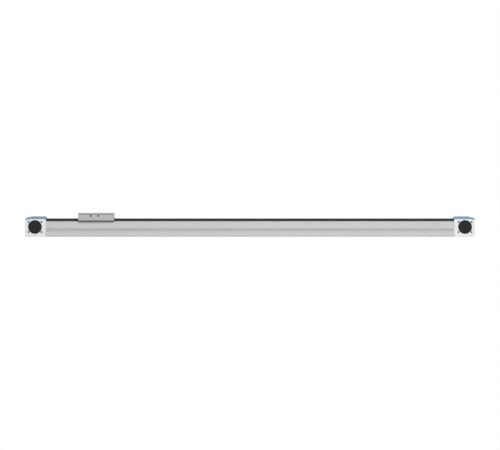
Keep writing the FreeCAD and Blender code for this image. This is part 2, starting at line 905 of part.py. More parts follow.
def make_retaining_rings(end):
    """Open spring rings that hold the bearings in the head."""
    body = new_body(end + "_retaining_rings")
    sketch = new_sketch(body, "XY_Plane")
    reach = "place.ring_groove_radius - size.fit_clearance"
    outer_face = "-(place.ring_out - size.fit_clearance)"
    inner_face = "-(place.ring_out - size.fit_clearance - size.ring_thickness)"
    for outline in both_depths(box_points(f"{reach} - size.ring_width", reach, outer_face, inner_face)):
        polygon(sketch, outline)
    turn = revolve(body, sketch)
    turn.setExpression("Angle", "360 - size.ring_gap_angle")
    seat_at_axle(body, end)


def belt_inner_wire():
    """Toothed side of the belt, followed once round both pulleys."""
    pitch = size("belt_pitch")
    radius = place("pitch_radius")
    land = place("land_radius")
    axis_x = place("axis_x")
    height = place("axis_height")
    span = 2 * axis_x
    wrap = math.pi * radius
    teeth = 2 * round(place("span_pitches")) + round(size("pulley_teeth"))
    root = size("belt_tooth_root") / 2
    tip = size("belt_tooth_tip") / 2
    depth = size("belt_tooth_height")

    def at(travel, sink):
        """A point of the belt at a travel along its pitch line and a depth below its land."""
        travel = travel % (2 * (span + wrap))
        reach = land - sink
        if travel <= span:
            return Vector(travel - axis_x, 0, height + reach)
        if travel <= span + wrap:
            turn = (travel - span) / radius
            return Vector(axis_x + reach * math.sin(turn), 0, height + reach * math.cos(turn))
        if travel <= 2 * span + wrap:
            return Vector(axis_x - (travel - span - wrap), 0, height - reach)
        turn = (travel - 2 * span - wrap) / radius
        return Vector(-axis_x - reach * math.sin(turn), 0, height - reach * math.cos(turn))

    edges = []
    loop = 2 * (span + wrap)
    step = loop / teeth
    for index in range(teeth):
        centre = index * step
        corners = [
            at(centre - root, 0),
            at(centre - tip, depth),
            at(centre + tip, depth),
            at(centre + root, 0),
        ]
        for begin, finish in zip(corners, corners[1:]):
            edges.append(Part.LineSegment(begin, finish).toShape())
        following = at(centre + step - root, 0)
        if abs(following.z - corners[3].z) < 1e-6 and abs(following.z - height) > land - 1e-3:
            edges.append(Part.LineSegment(corners[3], following).toShape())
        else:
            middle = at(centre + step / 2, 0)
            edges.append(Part.Arc(corners[3], middle, following).toShape())
    return Part.Wire(edges)


def make_belt():
    """Endless toothed belt round both pulleys, through the carriage and the profile."""
    axis_x = place("axis_x")
    height = place("axis_height")
    back = place("back_radius")
    top_left = Vector(-axis_x, 0, height + back)
    top_right = Vector(axis_x, 0, height + back)
    low_right = Vector(axis_x, 0, height - back)
    low_left = Vector(-axis_x, 0, height - back)
    outer = Part.Wire([
        Part.LineSegment(top_left, top_right).toShape(),
        Part.Arc(top_right, Vector(axis_x + back, 0, height), low_right).toShape(),
        Part.LineSegment(low_right, low_left).toShape(),
        Part.Arc(low_left, Vector(-axis_x - back, 0, height), top_left).toShape(),
    ])
    inner = belt_inner_wire()
    inner.reverse()
    section = Part.Face([outer, inner])
    belt = doc.addObject("Part::Feature", "toothed_belt")
    belt.Shape = section.extrude(Vector(0, size("belt_width"), 0))
    belt.Placement = FreeCAD.Placement(Vector(0, -size("belt_width") / 2, 0), FreeCAD.Rotation())
    keep(belt, "toothed_belt")


def make_pulley(end):
    """Toothed belt wheel with a keyed hub."""
    body = new_body(end + "_pulley")
    rim = new_sketch(body, "XZ_Plane")
    circle(rim, "0", "0", "place.pulley_radius")
    pad(body, rim, "2 * place.tooth_half", midplane=True)
    hub = new_sketch(body, "XZ_Plane")
    circle(hub, "0", "0", "size.hub_radius")
    pad(body, hub, "2 * place.hub_half", midplane=True)
    bore = new_sketch(body, "XZ_Plane")
    circle(bore, "0", "0", "size.shaft_radius + size.bearing_seat_play")
    pocket(body, bore, "2 * place.hub_half", midplane=True)
    keyway = new_sketch(body, "XZ_Plane")
    key_half = "size.key_width / 2 + size.fit_clearance"
    key_top = "size.shaft_radius - size.key_depth + size.key_height + size.fit_clearance"
    polygon(keyway, box_points(f"-({key_half})", key_half, "0", key_top))
    pocket(body, keyway, "2 * place.hub_half", midplane=True)
    gap = new_sketch(body, "XZ_Plane")
    root_half = "size.belt_tooth_root / 2 + size.mesh_clearance"
    tip_half = "size.belt_tooth_tip / 2 + size.mesh_clearance"
    polygon(gap, [
        (f"-({tip_half})", "place.tip_radius - size.mesh_clearance"),
        (tip_half, "place.tip_radius - size.mesh_clearance"),
        (root_half, "place.land_radius"),
        (f"-({root_half})", "place.land_radius"),
    ])
    notch = pocket(body, gap, "2 * place.tooth_half", midplane=True)
    pattern_around(body, [notch], "Y_Axis", "size.pulley_teeth")
    seat_at_axle(body, end)


def make_pulley_flanges(end):
    inner = "size.hub_radius + size.bearing_seat_play"
    near_face = "-(place.tooth_half)"
    far_face = "-(place.tooth_half + size.flange_thickness)"
    outline = [
        (inner, near_face),
        (inner, far_face),
        ("place.flange_radius", far_face),
        ("place.flange_radius", f"{near_face} - size.flange_thickness / 2"),
        ("place.land_radius", near_face),
    ]
    seat_at_axle(turned(end + "_pulley_flanges", both_depths(outline)), end)


def make_shaft(end):
    """Hollow keyed shaft for a plug-in drive."""
    body = turned(end + "_hollow_shaft", [box_points(
        "size.shaft_bore", "size.shaft_radius", "-place.ring_in", "place.ring_in")])
    slot = new_sketch(body, "XZ_Plane")
    half = "size.key_width / 2 + size.fit_clearance"
    bottom = "size.shaft_radius - size.key_depth - size.fit_clearance"
    polygon(slot, box_points(f"-({half})", half, bottom, "size.shaft_radius + size.key_depth"))
    pocket(body, slot, "size.key_length + 2 * size.fit_clearance", midplane=True)
    seat_at_axle(body, end)


def make_key(end):
    body = new_body(end + "_pulley_key")
    sketch = new_sketch(body, "XZ_Plane")
    bottom = "size.shaft_radius - size.key_depth"
    polygon(sketch, box_points(
        "-size.key_width / 2", "size.key_width / 2", bottom, f"{bottom} + size.key_height"))
    pad(body, sketch, "size.key_length", midplane=True)
    seat_at_axle(body, end)


def make_spacers(end):
    outline = box_points(
        "size.shaft_radius + size.bearing_seat_play",
        "place.spacer_radius",
        "-place.seat_in",
        "-place.hub_half",
    )
    seat_at_axle(turned(end + "_spacer_rings", both_depths(outline)), end)


def make_carriage_body():
    """Carriage casting: deck over the runner blocks, skirts beside them, belt anvil below."""
    body = new_body("carriage_body")
    section = new_sketch(body, "YZ_Plane")
    polygon(section, both_sides([
        ("place.skirt_inner", "place.deck_under"),
        ("place.skirt_inner", "place.skirt_bottom"),
        ("place.carriage_half", "place.skirt_bottom"),
        ("place.carriage_half", "place.deck_top"),
    ]))
    pad(body, section, "size.carriage_length", midplane=True)
    anvil = new_sketch(body, "XY_Plane", z="place.anvil_bottom")
    polygon(anvil, box_points(
        "-place.clamp_far", "place.clamp_far", "-place.clamp_half", "place.clamp_half"))
    pad(body, anvil, "place.deck_under - place.anvil_bottom + size.fit_clearance")
    through = "place.deck_top - place.anvil_bottom + size.plate_edge"
    for radius, depth in (
        ("size.small_screw_radius + size.screw_play", through),
        ("size.small_head_radius + size.screw_play", "size.small_head_height + size.screw_play"),
    ):
        screws = new_sketch(body, "XY_Plane", z="place.deck_top")
        for along, across in small_screw_spots():
            circle(screws, along, across, radius)
        pocket(body, screws, depth)
    for radius, spread_x, spread_y, depth in (
        (
            "size.plate_screw_radius + size.fit_clearance",
            "size.plate_screw_x / 2",
            "size.mount_hole_y / 2",
            "size.plate_screw_grip + size.screw_play",
        ),
        (
            "size.thread_radius",
            "size.mount_hole_x / 2",
            "size.mount_hole_y / 2",
            "size.mount_hole_depth - size.top_plate_thickness",
        ),
    ):
        threads = new_sketch(body, "XY_Plane", z="place.deck_top")
        four_circles(threads, spread_x, spread_y, radius)
        pocket(body, threads, depth)
    for sign in ("-", ""):
        face = f"{sign}place.carriage_half"
        side = new_sketch(body, "XZ_Plane", z=f"-({face})")
        for shift in ("-", "+"):
            circle(
                side,
                f"{sign}size.side_hole_shift {shift} size.side_hole_spacing / 2",
                "place.side_hole_height",
                "size.side_hole_radius",
            )
        pocket(body, side, "size.side_hole_depth", reverse=sign == "")
    body.setExpression("Placement.Base.x", "place.carriage_x")


def make_side_seals():
    """Angled seal strips below both skirts, with a lip down each side of the profile."""
    body = new_body("carriage_side_seals")
    section = new_sketch(body, "YZ_Plane")
    lip_in = "place.half_width + size.seal_play"
    lip_out = f"{lip_in} + size.seal_lip"
    flange_in = "place.skirt_inner + size.seal_inset"
    flange_low = "place.skirt_bottom - size.seal_flange"
    lip_low = "place.skirt_bottom - size.seal_reach"
    strip = [
        (flange_in, flange_low),
        (lip_in, flange_low),
        (lip_in, lip_low),
        (lip_out, lip_low),
        (lip_out, "place.skirt_bottom"),
        (flange_in, "place.skirt_bottom"),
    ]
    polygon(section, strip)
    polygon(section, [(f"-({across})", up) for across, up in reversed(strip)])
    pad(body, section, "size.carriage_length - 2 * size.seal_inset", midplane=True)
    body.setExpression("Placement.Base.x", "place.carriage_x")


def four_circles(sketch, spread_x, spread_y, radius):
    for along in ("-", ""):
        for across in ("-", ""):
            circle(sketch, f"{along}{spread_x}", f"{across}{spread_y}", radius)


def small_screw_spots():
    """Centres of the runner block screws and the belt clamp screws in the deck."""
    spots = []
    for end in ("-", ""):
        for across in ("-", ""):
            for shift in ("-", "+"):
                along = f"{end}size.block_offset {shift} size.block_screw_spacing / 2"
                spots.append((along, f"{across}size.rail_offset"))
            spots.append((f"{end}place.clamp_screw_x", f"{across}size.clamp_screw_y"))
    return spots


def make_top_plate():
    """Mounting plate of the carriage, set back a little from the casting's sides."""
    body = new_body("carriage_top_plate")
    section = new_sketch(body, "YZ_Plane")
    edge = "place.carriage_half - size.top_plate_setback"
    polygon(section, both_sides([
        (edge, "place.deck_top"),
        (edge, "place.carriage_top - size.plate_edge"),
        (f"{edge} - size.plate_edge", "place.carriage_top"),
    ]))
    pad(body, section, "size.carriage_length", midplane=True)
    for radius, spread_x, depth in (
        ("size.thread_radius", "size.mount_hole_x / 2", "size.top_plate_thickness"),
        ("size.plate_screw_radius + size.screw_play", "size.plate_screw_x / 2", "size.top_plate_thickness"),
        ("size.plate_screw_head + size.screw_play", "size.plate_screw_x / 2", "size.plate_screw_recess"),
    ):
        holes = new_sketch(body, "XY_Plane", z="place.carriage_top")
        four_circles(holes, spread_x, "size.mount_hole_y / 2", radius)
        pocket(body, holes, depth)
    body.setExpression("Placement.Base.x", "place.carriage_x")


def make_plate_screws():
    screw = cap_screw(
        size("plate_screw_radius"),
        size("top_plate_thickness") - size("plate_screw_recess") + size("plate_screw_grip"),
        size("plate_screw_head"),
        size("plate_screw_head_height"),
        size("plate_screw_key"),
    )
    seat = place("carriage_top") - size("plate_screw_recess")
    screws = []
    for along in (-size("plate_screw_x") / 2, size("plate_screw_x") / 2):
        for across in (-size("mount_hole_y") / 2, size("mount_hole_y") / 2):
            screws.append(moved(screw, place("carriage_x") + along, across, seat))
    group("top_plate_screws", screws)


def make_runner_block(end, side):
    """Steel runner block straddling its rail, with a raceway in each inner wall."""
    body = new_body(f"{end}_{side}_runner_block")
    section = new_sketch(body, "YZ_Plane")
    half = "size.block_width / 2"
    polygon(section, both_sides([
        ("place.block_inner", "place.block_ceiling"),
        ("place.block_inner", "place.race_height + size.race_depth"),
        ("place.block_inner + size.race_depth", "place.race_height"),
        ("place.block_inner", "place.race_height - size.race_depth"),
        ("place.block_inner", "place.block_bottom"),
        (half, "place.block_bottom"),
        (half, "place.deck_under - size.block_edge"),
        (f"{half} - size.block_edge", "place.deck_under"),
    ]))
    pad(body, section, "size.block_length", midplane=True)
    threads = new_sketch(body, "XY_Plane", z="place.deck_under")
    for along in ("-size.block_screw_spacing / 2", "size.block_screw_spacing / 2"):
        circle(threads, along, "0", "size.small_screw_radius + size.fit_clearance")
    pocket(body, threads, "size.block_screw_grip + size.screw_play")
    body.setExpression("Placement.Base.x", f"place.carriage_x + {END_SIGN[end]} * size.block_offset")
    body.setExpression("Placement.Base.y", f"{SIDE_SIGN[side]} * size.rail_offset")


def runner_slice(inset, play, thickness):
    """A slice across a rail with the runner's outline, drawn in by an inset."""
    half = size("block_width") / 2 - inset
    low = place("block_bottom") + inset
    high = place("deck_under") - inset
    inner = place("rail_half") + play
    ceiling = place("rail_top") + play
    right = [(half, high), (half, low), (inner, low), (inner, ceiling)]
    left = [(-across, up) for across, up in reversed(right)]
    corners = [Vector(0, across, up) for across, up in right + left]
    return Part.Face(Part.makePolygon(corners + corners[:1])).extrude(Vector(thickness, 0, 0))


def runner_spots():
    """Centre and rail of each runner block, with the direction of each of its two ends."""
    for end in END_SIGN.values():
        for side in SIDE_SIGN.values():
            centre = place("carriage_x") + end * size("block_offset")
            yield centre, side * size("rail_offset")


def make_runner_ends():
    """Plastic end caps and rubber wipers at both ends of every runner block."""
    half = size("block_length") / 2
    cap_length = size("end_cap_length")
    wiper = size("wiper_thickness")
    cap = runner_slice(size("end_cap_inset"), size("block_side_gap"), cap_length)
    lip = runner_slice(2 * size("end_cap_inset"), size("wiper_play"), wiper)
    caps = []
    lips = []
    for centre, across in runner_spots():
        caps.append(moved(cap, centre + half, across, 0))
        caps.append(moved(cap, centre - half - cap_length, across, 0))
        lips.append(moved(lip, centre + half + cap_length, across, 0))
        lips.append(moved(lip, centre - half - cap_length - wiper, across, 0))
    group("runner_end_caps", caps)
    group("runner_wipers", lips)


def make_runner_balls():
    """Loaded balls between the raceways of the rails and the runner blocks."""
    middle = place("rail_half") + size("block_side_gap") / 2
    room = (size("block_side_gap") / 2 + size("race_depth")) * math.sqrt(0.5)
    ball = Part.makeSphere(room - size("ball_clearance"))
    count = round(size("balls_in_row"))
    balls = []
    for centre, across in runner_spots():
        for flank in (-middle, middle):
            for index in range(count):
                along = centre + (index - (count - 1) / 2) * size("ball_spacing")
                balls.append(moved(ball, along, across + flank, place("race_height")))
    group("runner_balls", balls)


def make_deck_screws():
    """Screws that hold the runner blocks and the belt clamps to the carriage body."""
    seat = place("deck_top") - size("small_head_height") - size("screw_play")
    block_screw = small_screw(seat - place("deck_under") + size("block_screw_grip"))
    clamp_screw = small_screw(seat - place("clamp_top") + size("clamp_screw_grip"))
    block_screws = []
    for centre, across in runner_spots():
        for shift in (-0.5, 0.5):
            along = centre + shift * size("block_screw_spacing")
            block_screws.append(moved(block_screw, along, across, seat))
    group("runner_screws", block_screws)
    clamp_screws = []
    for end in END_SIGN.values():
        for side in SIDE_SIGN.values():
            along = place("carriage_x") + end * place("clamp_screw_x")
            clamp_screws.append(moved(clamp_screw, along, side * size("clamp_screw_y"), seat))
    group("clamp_screws", clamp_screws)


def make_clamp(end):
    """Toothed plate that holds one end of the belt against the carriage's anvil."""
    label = {"left": "fixed_belt_clamp", "right": "tension_belt_clamp"}[end]
    body = new_body(label)
    sign = END_SIGN[end]
    plan = new_sketch(body, "XY_Plane", z="place.clamp_bottom")
    near_end = f"{sign} * place.clamp_near"
    far_end = f"{sign} * place.clamp_far"
    polygon(plan, box_points(near_end, far_end, "-place.clamp_half", "place.clamp_half"))
    pad(body, plan, "place.clamp_top - place.clamp_bottom")
    gap = new_sketch(body, "XZ_Plane")
    first = f"{sign} * size.belt_pitch"
    root_half = "(size.belt_tooth_root / 2 + size.mesh_clearance)"
    tip_half = "(size.belt_tooth_tip / 2 + size.mesh_clearance)"
    low = "place.belt_tips - size.mesh_clearance"
    polygon(gap, [
        (f"{first} - {tip_half}", low),
        (f"{first} + {tip_half}", low),
        (f"{first} + {root_half}", "place.belt_land"),
        (f"{first} - {root_half}", "place.belt_land"),
    ])
    notch = pocket(body, gap, "2 * place.clamp_half", midplane=True)
    row = pattern_along(
        body, [notch], "X_Axis", "(size.clamp_grooves - 1) * size.belt_pitch", "size.clamp_grooves")
    row.Reversed = end == "left"
    doc.recompute()
    bolts = new_sketch(body, "XY_Plane", z="place.clamp_top")
    bolt_radius = "size.small_screw_radius + size.fit_clearance"
    for across in ("-size.clamp_screw_y", "size.clamp_screw_y"):
        circle(bolts, f"{sign} * place.clamp_screw_x", across, bolt_radius)
    pocket(body, bolts, "place.clamp_top - place.clamp_bottom")
    draw = new_sketch(body, "YZ_Plane")
    circle(draw, "0", "place.tension_height", bolt_radius)
    pocket(body, draw, "2 * place.clamp_far", midplane=True)
    body.setExpression("Placement.Base.x", "place.carriage_x")


def make_tension_screw():
    """Draw screw that pulls the tension clamp towards the fixed clamp."""
    grip = 2 * place("clamp_far") - place("clamp_near")
    screw = cap_screw(
        size("small_screw_radius"),
        grip,
        size("tension_head_radius"),
        size("small_head_height"),
        size("small_key"),
    )
    screw.rotate(Vector(0, 0, 0), Vector(0, 1, 0), 90)
    seat = place("carriage_x") + place("clamp_far")
    group("belt_tension_screw", [moved(screw, seat, 0, place("tension_height"))])


make_profile()
for side in SIDE_SIGN:
    make_rail(side)
    make_rail_screws(side)
for end in END_SIGN:
    make_head(end)
    make_cover(end)
    make_head_screws(end)
    for side in SIDE_SIGN:
        make_bore_cap(end, side)
    make_bearing_rings(end)
    make_retaining_rings(end)
    make_pulley(end)
    make_pulley_flanges(end)
    make_shaft(end)
    make_key(end)
    make_spacers(end)
make_belt()
make_carriage_body()
make_side_seals()
make_top_plate()
make_plate_screws()
for end in END_SIGN:
    for side in SIDE_SIGN:
        make_runner_block(end, side)
    make_clamp(end)
make_runner_ends()
make_runner_balls()
make_deck_screws()
make_tension_screw()

doc.recompute()
for item in doc.Objects:
    if "Invalid" in item.State or "Error" in item.State:
        raise RuntimeError(f"{item.Name} failed: {item.State}")
for item in nodes:
    if item.Shape.isNull() or not item.Shape.isValid():
        raise RuntimeError(f"{item.Label} has no valid shape")

os.makedirs("parts", exist_ok=True)
for item in nodes:
    item.Shape.exportStep(f"parts/{item.Label}.step")
    print(item.Label, len(item.Shape.Solids), round(item.Shape.Volume, 2))
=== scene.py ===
import json
import math

import bmesh
import bpy
from mathutils import Matrix, Vector


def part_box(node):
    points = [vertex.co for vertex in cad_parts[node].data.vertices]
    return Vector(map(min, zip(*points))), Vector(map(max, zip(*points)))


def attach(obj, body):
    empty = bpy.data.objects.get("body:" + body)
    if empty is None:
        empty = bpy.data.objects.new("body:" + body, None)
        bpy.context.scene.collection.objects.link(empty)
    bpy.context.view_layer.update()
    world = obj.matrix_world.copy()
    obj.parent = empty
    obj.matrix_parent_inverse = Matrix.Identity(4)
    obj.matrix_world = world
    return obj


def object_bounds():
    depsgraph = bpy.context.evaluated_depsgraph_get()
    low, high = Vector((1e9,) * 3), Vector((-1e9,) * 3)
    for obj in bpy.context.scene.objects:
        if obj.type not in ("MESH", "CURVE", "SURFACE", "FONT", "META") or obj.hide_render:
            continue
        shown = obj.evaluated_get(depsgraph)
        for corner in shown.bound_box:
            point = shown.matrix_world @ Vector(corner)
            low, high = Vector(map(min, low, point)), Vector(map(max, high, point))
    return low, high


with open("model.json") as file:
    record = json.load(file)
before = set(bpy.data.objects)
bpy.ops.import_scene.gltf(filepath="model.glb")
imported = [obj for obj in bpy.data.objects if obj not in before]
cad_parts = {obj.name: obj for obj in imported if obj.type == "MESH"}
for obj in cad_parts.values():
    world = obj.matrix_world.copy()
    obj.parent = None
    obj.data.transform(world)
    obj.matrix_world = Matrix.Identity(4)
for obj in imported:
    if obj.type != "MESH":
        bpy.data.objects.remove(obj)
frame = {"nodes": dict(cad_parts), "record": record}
cad_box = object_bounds()

MM = 0.001
TURN = 2 * math.pi
WHITE = (1.0, 1.0, 1.0)

# Frame of the picture and the object's place in it
PICTURE_WIDTH = 500
OBJECT_WIDTH = 450
LENS = 500
SENSOR = 36
CLIP_DISTANCES = 10

# Light: a plain studio with white walls, a lamp above the front and a weak one behind
WORLD_LEVEL = 0.54
WALL_LEVEL = 1.0
KEY_LAMP = {"place": (0.25, -1.3, 2.05), "aim": (0.2, 0, 0.03), "width": 1.4, "depth": 1.1, "power": 41}
BACK_LAMP = {"place": (-0.4, 1.8, 1.5), "aim": (0, 0, 0.03), "width": 2.0, "depth": 1.0, "power": 8}

# The floor: its colour, and the glow that keeps it white further from the lamps
FLOOR_REACH = 12
FLOOR_GAP = 0.2 * MM
FLOOR_COLOUR = (0.8, 0.8, 0.8)
GLOW_NEAR = 0.18
GLOW_FAR = 0.6
GLOW_DISTANCE = 3

# Texture sizes, as repeats per metre along X, Y and Z
DRAWN_LINES = (1.2, 1400, 1400)
DRAWN_STREAKS = (0.04, 110, 110)
METAL_GRAIN = (5200, 5200, 5200)
HANDLING = (11, 26, 26)
COAT_PEEL = (1500, 1500, 1500)
COAT_CLOUDS = (32, 32, 32)
COAT_GRIT = (6500, 6500, 6500)
PLASTIC_FLOW = (24, 70, 48)
RUBBER_DUST = (40, 90, 90)
TOOL_MARKS = (2600, 2600, 900)
STEEL_PATCHES = (260, 260, 260)

# Spans of a noise's values that hold most of its pattern
MOST = (0.3, 0.7)
NEARLY_ALL = (0.25, 0.75)
WAVE = (-1.0, 1.0)
UNIT = (0.0, 1.0)

# Cosines between the flat and the rounded normal where an edge begins and where it is full
EDGE_COSINES = (0.985, 0.8)

# Thread sleeves in the screw holes, whose near-black finish is partly a real thread insert and partly
# painted shade
SLEEVE_PLAY = 0.03 * MM
SLEEVE_WALL = 0.08 * MM
SLEEVE_SINK = 0.6 * MM
THREAD_PITCH = 1.0 * MM
THREAD_RISE = 0.3 * MM
THREAD_LEAD = 0.2 * MM
THREAD_TURNS = 4
THREAD_STEPS = 28

# The object's box
low, high = (Vector(corner) for corner in cad_box)
CENTRE = (low + high) / 2
LENGTH = high.x - low.x
FRONT = low.y

# Axle of the pulleys, at the middle of a bore cap
cap_low, cap_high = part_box("left_front_bore_cap")
AXLE_X = abs(cap_low[0] + cap_high[0]) / 2
AXLE_Z = (cap_low[2] + cap_high[2]) / 2


class Graph:
    """A node tree under construction, with short calls for its nodes."""

    def __init__(self, tree):
        self.tree = tree

    def add(self, kind, **settings):
        node = self.tree.nodes.new("ShaderNode" + kind)
        for name, value in settings.items():
            setattr(node, name, value)
        return node

    def join(self, source, target):
        self.tree.links.new(source, target)

    def plug(self, socket, value):
        """Set a socket to a number or a colour, or join it to another node's socket."""
        if isinstance(value, bpy.types.NodeSocket):
            self.join(value, socket)
        elif isinstance(value, (int, float)):
            socket.default_value = value
        else:
            socket.default_value = (*value, 1.0)

    def math(self, operation, *values):
        node = self.add("Math", operation=operation)
        for socket, value in zip(node.inputs, values):
            self.plug(socket, value)
        return node.outputs["Value"]

    def remap(self, value, span, result):
        """Move a value from one span to another, held at both ends."""
        node = self.add("MapRange")
        for name, number in zip(("From Min", "From Max", "To Min", "To Max"), (*span, *result)):
            node.inputs[name].default_value = number
        self.join(value, node.inputs["Value"])
        return node.outputs["Result"]

    def seen_directly(self):
        """One for rays that show the background itself, nought for light that falls on things."""
        path = self.add("LightPath").outputs
        seen = path["Is Camera Ray"]
        for name in ("Is Glossy Ray", "Is Transmission Ray"):
            seen = self.math("MAXIMUM", seen, path[name])
        return seen


class Surface(Graph):
    """A material of the object: one shader, fed by textures in the object's own coordinates."""

    def __init__(self, name, **sockets):
        self.material = bpy.data.materials.new(name)
        self.material.use_nodes = True
        super().__init__(self.material.node_tree)
        self.shader = self.tree.nodes["Principled BSDF"]
        self.coordinates = self.add("TexCoord").outputs["Object"]
        for socket, value in sockets.items():
            self.shader.inputs[socket.replace("_", " ")].default_value = value

    def feed(self, socket, source):
        self.join(source, self.shader.inputs[socket])

    def split(self):
        """The object's X, Y and Z, in metres."""
        node = self.add("SeparateXYZ")
        self.join(self.coordinates, node.inputs["Vector"])
        return node.outputs

    def noise(self, size, detail=3.0, roughness=0.55):
        mapping = self.add("Mapping")
        mapping.inputs["Scale"].default_value = size
        self.join(self.coordinates, mapping.inputs["Vector"])
        node = self.add("TexNoise")
        node.inputs["Scale"].default_value = 1.0
        node.inputs["Detail"].default_value = detail
        node.inputs["Roughness"].default_value = roughness
        self.join(mapping.outputs["Vector"], node.inputs["Vector"])
        return node.outputs["Fac"]

    def ramp(self, value, span, first, second):
        """A colour that goes from the first to the second over a span of the value."""
        node = self.add("ValToRGB")
        for stop, position, colour in zip(node.color_ramp.elements, span, (first, second)):
            stop.position = position
            stop.color = (*colour, 1.0)
        self.join(value, node.inputs["Fac"])
        return node.outputs["Color"]

    def shades(self, colour, value, span, darkest, lightest):
        """A colour that gets darker and lighter with a value."""
        return self.ramp(value, span, shade(colour, darkest), shade(colour, lightest))

    def blend(self, amount, first, second, mode="MIX"):
        """Two colours mixed by an amount."""
        node = self.add("Mix", data_type="RGBA", blend_type=mode)
        colours = [socket for socket in node.inputs if socket.type == "RGBA"]
        factor = next(socket for socket in node.inputs if socket.type == "VALUE")
        for socket, value in zip((factor, *colours), (amount, first, second)):
            self.plug(socket, value)
        return next(socket for socket in node.outputs if socket.type == "RGBA")

    def dulled(self, tint, value, span, dull, clear=WHITE):
        """A tint multiplied by a second colour that follows a value."""
        return self.blend(1.0, tint, self.ramp(value, span, dull, clear), "MULTIPLY")

    def rounded(self, radius, samples=6):
        """Normals as if every sharp edge were rounded by the radius."""
        node = self.add("Bevel", samples=samples)
        node.inputs["Radius"].default_value = radius
        return node.outputs["Normal"]

    def edge_mask(self, rounded_normal):
        """One along the rounded edges, nought on the flats."""
        dot = self.add("VectorMath", operation="DOT_PRODUCT")
        self.join(rounded_normal, dot.inputs[0])
        self.join(self.add("NewGeometry").outputs["Normal"], dot.inputs[1])
        return self.remap(dot.outputs["Value"], EDGE_COSINES, UNIT)

    def bump(self, height, depth, strength, normal=None):
        node = self.add("Bump")
        node.inputs["Strength"].default_value = strength
        node.inputs["Distance"].default_value = depth
        self.join(height, node.inputs["Height"])
        if normal is not None:
            self.join(normal, node.inputs["Normal"])
        return node.outputs["Normal"]


def shade(colour, factor):
    return tuple(channel * factor for channel in colour)


def drawn_metal(name, colour, worn, metallic, roughness, lines, edge=0.4 * MM, gloss=0.5):
    """Extruded or brushed metal: fine lines along X, soft streaks, worn edges."""
    s = Surface(name, Metallic=metallic, Specular_IOR_Level=gloss)
    fine = s.noise(DRAWN_LINES, detail=4)
    broad = s.noise(DRAWN_STREAKS, detail=2)
    grain = s.noise(METAL_GRAIN, detail=1)
    touch = s.noise(HANDLING, detail=4)
    tint = s.shades(colour, fine, NEARLY_ALL, darkest=1 - lines, lightest=1 + lines)
    tint = s.dulled(tint, broad, MOST, dull=(0.972, 0.973, 0.976))
    tint = s.dulled(tint, grain, MOST, dull=(0.975, 0.975, 0.975))
    normal = s.rounded(edge)
    patchy = s.math("MULTIPLY", s.edge_mask(normal), s.remap(touch, MOST, result=(0.35, 1.0)))
    s.feed("Base Color", s.blend(patchy, tint, worn))
    line_sheen = s.remap(fine, NEARLY_ALL, result=(-0.05, 0.05))
    touch_sheen = s.remap(touch, MOST, result=(-0.04, 0.06))
    s.feed("Roughness", s.math("ADD", s.math("ADD", line_sheen, touch_sheen), roughness))
    grain_share = 0.35
    relief = s.math("ADD", fine, s.math("MULTIPLY", grain, grain_share))
    s.feed("Normal", s.bump(relief, depth=0.018 * MM, strength=0.7, normal=normal))
    return s.material


def coated_metal(name, colour, worn, roughness, peel_depth, edge=0.5 * MM):
    """Satin powder coat: fine orange peel, faint clouding, edges rubbed thin."""
    s = Surface(name, Specular_IOR_Level=0.45)
    peel = s.noise(COAT_PEEL, detail=2)
    cloud = s.noise(COAT_CLOUDS, detail=4)
    grit = s.noise(COAT_GRIT, detail=1)
    tint = s.shades(colour, cloud, MOST, darkest=0.975, lightest=1.0)
    tint = s.dulled(tint, grit, span=(0.25, 0.55), dull=(0.965, 0.965, 0.968))
    normal = s.rounded(edge)
    rubbed = s.math("MULTIPLY", s.edge_mask(normal), s.remap(cloud, span=(0.4, 0.65), result=(0.1, 0.8)))
    s.feed("Base Color", s.blend(rubbed, tint, worn))
    s.feed("Roughness", s.math("ADD", s.remap(cloud, MOST, result=(-0.05, 0.07)), roughness))
    s.feed("Normal", s.bump(peel, depth=peel_depth, strength=0.7, normal=normal))
    return s.material


def moulded_plastic(name, colour, worn, roughness, gloss, grain_size, rings=False, edge=0.35 * MM):
    """Moulded plastic: a fine eroded grain, faint flow marks, polished edges."""
    s = Surface(name, Specular_IOR_Level=gloss)
    grain = s.noise((1 / grain_size,) * 3, detail=3, roughness=0.6)
    flow = s.noise(PLASTIC_FLOW, detail=3)
    tint = s.shades(colour, flow, MOST, darkest=0.93, lightest=1.04)
    tint = s.dulled(tint, grain, span=(0.3, 0.6), dull=shade(WHITE, 0.84), clear=shade(WHITE, 1.02))
    normal = s.rounded(edge)
    polished = s.math("MULTIPLY", s.edge_mask(normal), s.remap(flow, MOST, result=(0.3, 0.9)))
    s.feed("Base Color", s.blend(polished, tint, worn))
    s.feed("Roughness", s.math("ADD", s.remap(grain, MOST, result=(-0.06, 0.08)), roughness))
    relief = grain
    if rings:
        ring_share = 0.8
        relief = s.math("ADD", grain, s.math("MULTIPLY", turning_marks(s), ring_share))
    s.feed("Normal", s.bump(relief, depth=0.05 * MM, strength=0.8, normal=normal))
    return s.material


def turning_marks(s, spacing=0.45 * MM):
    """Fine rings round the two pulley axles."""
    place = s.split()
    across = s.math("SUBTRACT", s.math("ABSOLUTE", place["X"]), AXLE_X)
    up = s.math("SUBTRACT", place["Z"], AXLE_Z)
    square = s.math("ADD", s.math("MULTIPLY", across, across), s.math("MULTIPLY", up, up))
    radius = s.math("SQRT", square)
    wave = s.math("SINE", s.math("MULTIPLY", radius, TURN / spacing))
    return s.remap(wave, WAVE, UNIT)


